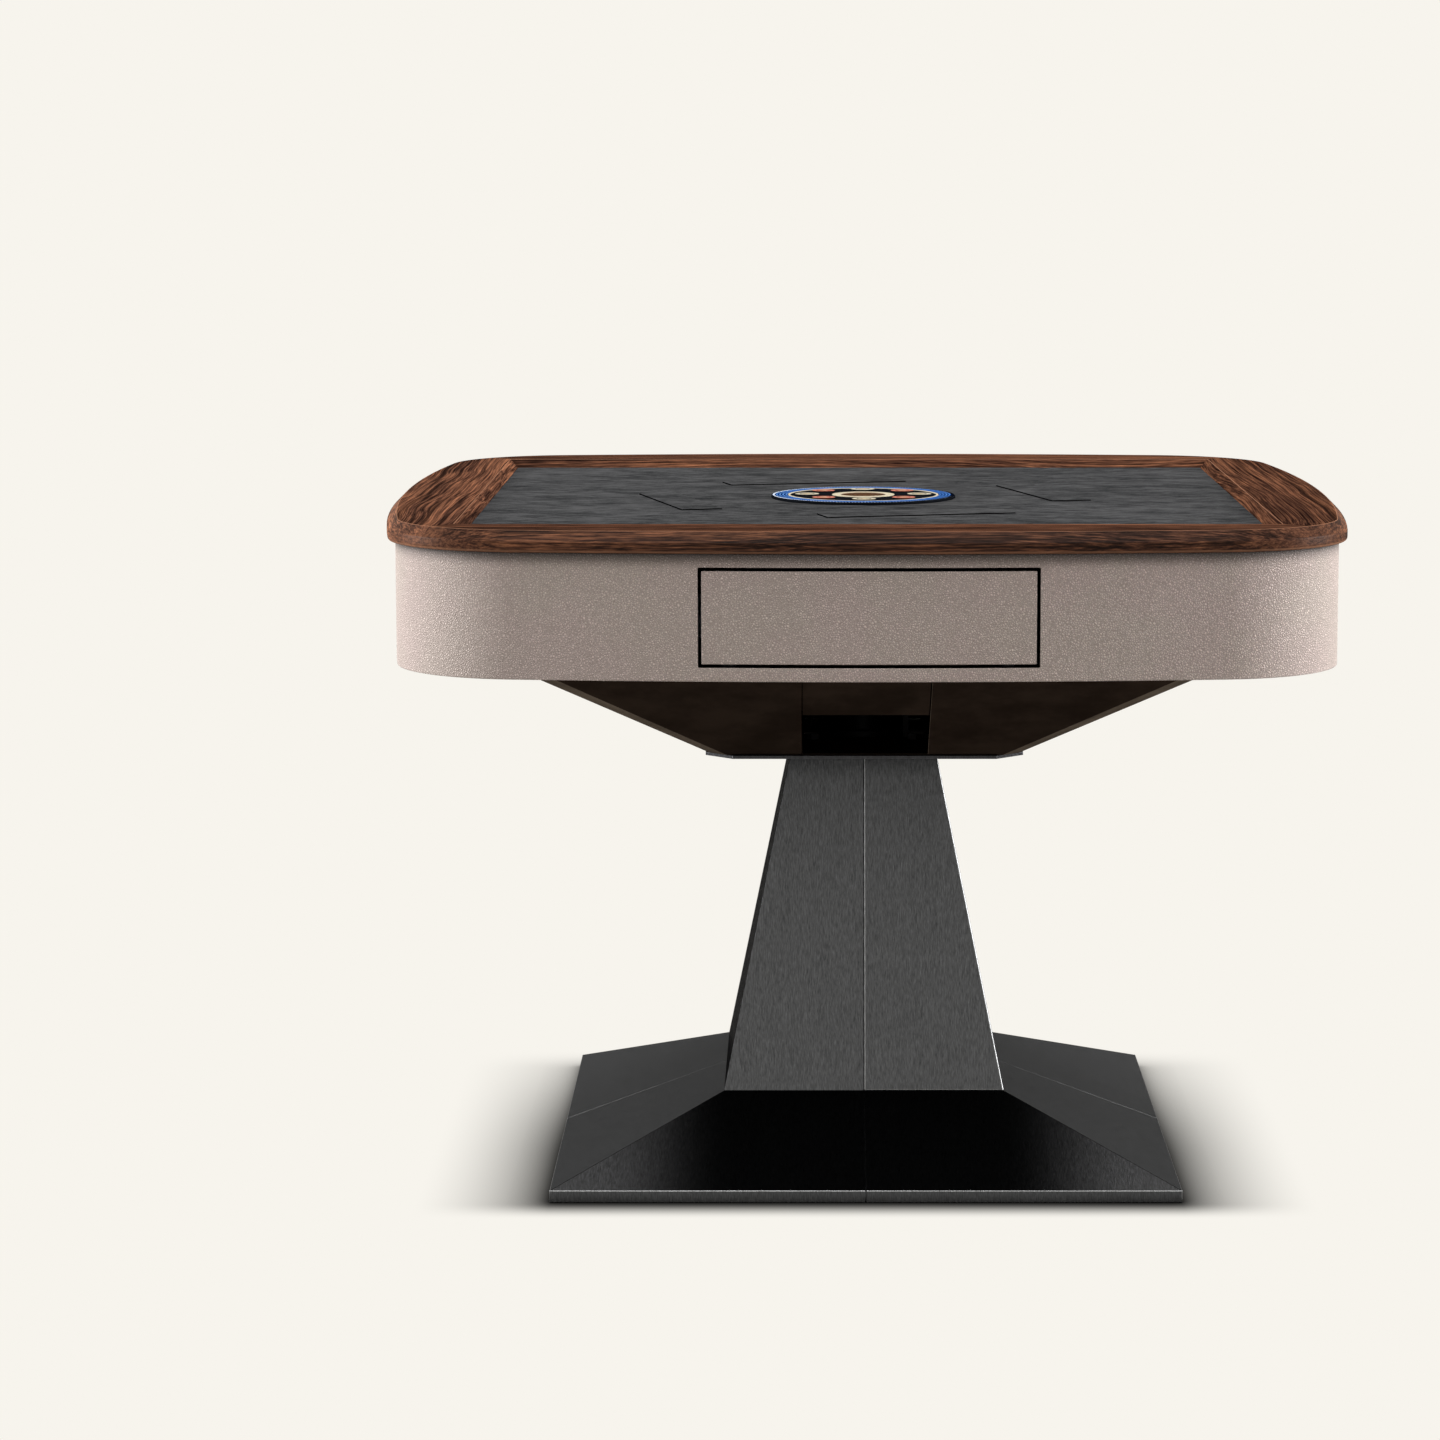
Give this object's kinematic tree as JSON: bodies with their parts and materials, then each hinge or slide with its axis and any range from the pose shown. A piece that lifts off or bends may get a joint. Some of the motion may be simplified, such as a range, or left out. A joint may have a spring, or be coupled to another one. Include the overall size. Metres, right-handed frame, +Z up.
{
  "type": "automatic mahjong table",
  "caption": "Square game table with a bowed walnut rim, leather skirt with drawers, felt top with ramp hatches and a rising console, on a tapered steel column and low pyramid base.",
  "frame": {"origin": "centre of the base on the floor, under the middle of the top", "axes": "+Z up, -Y towards the player at the front, +X to that player's right"},
  "size_m": [1.074, 1.074, 0.76],
  "materials": {
    "rubber_pad": "matte",
    "dark_steel": "dark brushed",
    "black_steel": "powder coat",
    "zinc_steel": "zinc plated",
    "pan_brown": "satin",
    "leather_taupe": "fine pebble grain",
    "walnut": "satin oil",
    "board": "sanded fibreboard",
    "felt_grey": "brushed felt",
    "tray_plastic": "fine texture",
    "machine_plastic": "satin",
    "belt_rubber": "ribbed",
    "motor_case": "cast",
    "gear_nylon": "moulded",
    "shaft_steel": "ground",
    "console_plastic": "gloss",
    "button_white": "gloss",
    "button_salmon": "gloss",
    "dice_ivory": "gloss",
    "dice_gold": "satin",
    "clear_window": "clear",
    "inlet_plastic": "fine texture"
  },
  "bodies": {
    "root": {"base_pads": "rubber_pad", "base_plate": "black_steel", "column_post": "black_steel", "mounting_plate": "dark_steel", "frame_bolts": "zinc_steel", "hull_shell": "pan_brown", "service_covers": "pan_brown", "mechanism_deck": "black_steel", "skirt": "leather_taupe", "tabletop_board": "board", "felt_mat": "felt_grey", "hatch_pins": "shaft_steel", "tile_beds": "machine_plastic", "drawer_runners": "zinc_steel", "tile_tub": "machine_plastic", "drum_motor": "motor_case", "drive_belt": "belt_rubber", "lift_guide": "shaft_steel", "lift_motor": "motor_case", "mains_inlet": "inlet_plastic", "base_cover_back_right": "dark_steel", "base_cover_back_left": "dark_steel", "base_cover_front_left": "dark_steel", "base_cover_front_right": "dark_steel", "column_shell_left": "dark_steel", "column_shell_right": "dark_steel", "rim_front": "walnut", "rim_right": "walnut", "rim_back": "walnut", "rim_left": "walnut"},
    "console": {"lift_post": "shaft_steel", "console_housing": "console_plastic", "console_cover": "console_plastic", "dice_window": "clear_window"},
    "dice_table": {"dice_plate": "dice_gold", "dice": "dice_ivory"},
    "lift_pinion": {"lift_pinion": "gear_nylon"},
    "turntable": {"turntable": "machine_plastic"},
    "drum_pulley": {"drum_pulley": "shaft_steel"},
    "power_switch": {"power_switch": "inlet_plastic"},
    "seat_button_right": {"seat_button_right": "button_white"},
    "seat_button_back": {"seat_button_back": "button_white"},
    "seat_button_left": {"seat_button_left": "button_white"},
    "seat_button_front": {"seat_button_front": "button_white"},
    "corner_button_back_right": {"corner_button_back_right": "button_salmon"},
    "corner_button_back_left": {"corner_button_back_left": "button_salmon"},
    "corner_button_front_left": {"corner_button_front_left": "button_salmon"},
    "corner_button_front_right": {"corner_button_front_right": "button_salmon"},
    "hatch_right": {"hatch_lid_right": "felt_grey"},
    "hatch_back": {"hatch_lid_back": "felt_grey"},
    "hatch_left": {"hatch_lid_left": "felt_grey"},
    "hatch_front": {"hatch_lid_front": "felt_grey"},
    "drawer_front": {"drawer_face_front": "leather_taupe", "drawer_tray_front": "tray_plastic"},
    "drawer_right": {"drawer_face_right": "leather_taupe", "drawer_tray_right": "tray_plastic"},
    "drawer_back": {"drawer_face_back": "leather_taupe", "drawer_tray_back": "tray_plastic"},
    "drawer_left": {"drawer_face_left": "leather_taupe", "drawer_tray_left": "tray_plastic"}
  },
  "joints": [
    {"name": "console_lift", "type": "slide", "parent": "root", "child": "console", "axis": [0, 0, 1], "range_m": [0, 0.075]},
    {"name": "lift_pinion_spin", "type": "hinge", "parent": "root", "child": "lift_pinion", "pos_m": [0, -0.0268, 0.566], "axis": [1, 0, 0], "range_deg": [0, 269]},
    {"name": "dice_plate_spin", "type": "hinge", "parent": "console", "child": "dice_table", "pos_m": [0, 0, 0.73], "axis": [0, 0, 1], "continuous": true},
    {"name": "turntable_spin", "type": "hinge", "parent": "root", "child": "turntable", "pos_m": [0, 0, 0.616], "axis": [0, 0, 1], "continuous": true},
    {"name": "drum_pulley_spin", "type": "hinge", "parent": "root", "child": "drum_pulley", "pos_m": [-0.25, -0.25, 0.594], "axis": [0, 0, 1], "continuous": true},
    {"name": "power_switch_rock", "type": "hinge", "parent": "root", "child": "power_switch", "pos_m": [0.0165, 0.4555, 0.6005], "axis": [0, 1, 0], "range_deg": [-14, 0]},
    {"name": "seat_button_right_press", "type": "slide", "parent": "console", "child": "seat_button_right", "axis": [0, 0, -1], "range_m": [0, 0.0015], "stiffness_N_per_m": 300, "springref_m": -0.001},
    {"name": "seat_button_back_press", "type": "slide", "parent": "console", "child": "seat_button_back", "axis": [0, 0, -1], "range_m": [0, 0.0015], "stiffness_N_per_m": 300, "springref_m": -0.001},
    {"name": "seat_button_left_press", "type": "slide", "parent": "console", "child": "seat_button_left", "axis": [0, 0, -1], "range_m": [0, 0.0015], "stiffness_N_per_m": 300, "springref_m": -0.001},
    {"name": "seat_button_front_press", "type": "slide", "parent": "console", "child": "seat_button_front", "axis": [0, 0, -1], "range_m": [0, 0.0015], "stiffness_N_per_m": 300, "springref_m": -0.001},
    {"name": "corner_button_back_right_press", "type": "slide", "parent": "console", "child": "corner_button_back_right", "axis": [0, 0, -1], "range_m": [0, 0.0015], "stiffness_N_per_m": 300, "springref_m": -0.001},
    {"name": "corner_button_back_left_press", "type": "slide", "parent": "console", "child": "corner_button_back_left", "axis": [0, 0, -1], "range_m": [0, 0.0015], "stiffness_N_per_m": 300, "springref_m": -0.001},
    {"name": "corner_button_front_left_press", "type": "slide", "parent": "console", "child": "corner_button_front_left", "axis": [0, 0, -1], "range_m": [0, 0.0015], "stiffness_N_per_m": 300, "springref_m": -0.001},
    {"name": "corner_button_front_right_press", "type": "slide", "parent": "console", "child": "corner_button_front_right", "axis": [0, 0, -1], "range_m": [0, 0.0015], "stiffness_N_per_m": 300, "springref_m": -0.001},
    {"name": "hatch_right_drop", "type": "hinge", "parent": "root", "child": "hatch_right", "pos_m": [0.2378, -0.04421, 0.74], "axis": [-0.9659, -0.2588, 0], "range_deg": [0, 19]},
    {"name": "hatch_back_drop", "type": "hinge", "parent": "root", "child": "hatch_back", "pos_m": [0.04421, 0.2378, 0.74], "axis": [0.2588, -0.9659, 0], "range_deg": [0, 19]},
    {"name": "hatch_left_drop", "type": "hinge", "parent": "root", "child": "hatch_left", "pos_m": [-0.2378, 0.04421, 0.74], "axis": [0.9659, 0.2588, 0], "range_deg": [0, 19]},
    {"name": "hatch_front_drop", "type": "hinge", "parent": "root", "child": "hatch_front", "pos_m": [-0.04421, -0.2378, 0.74], "axis": [-0.2588, 0.9659, 0], "range_deg": [0, 19]},
    {"name": "drawer_front_slide", "type": "slide", "parent": "root", "child": "drawer_front", "axis": [0, -1, 0], "range_m": [0, 0.11]},
    {"name": "drawer_right_slide", "type": "slide", "parent": "root", "child": "drawer_right", "axis": [1, 0, 0], "range_m": [0, 0.11]},
    {"name": "drawer_back_slide", "type": "slide", "parent": "root", "child": "drawer_back", "axis": [0, 1, 0], "range_m": [0, 0.11]},
    {"name": "drawer_left_slide", "type": "slide", "parent": "root", "child": "drawer_left", "axis": [-1, 0, 0], "range_m": [0, 0.11]}
  ],
  "couplings": [
    {"joint": "lift_pinion_spin", "follows": "console_lift", "rad_per_m": 62.5},
    {"joint": "drum_pulley_spin", "follows": "turntable_spin", "ratio": 4}
  ]
}
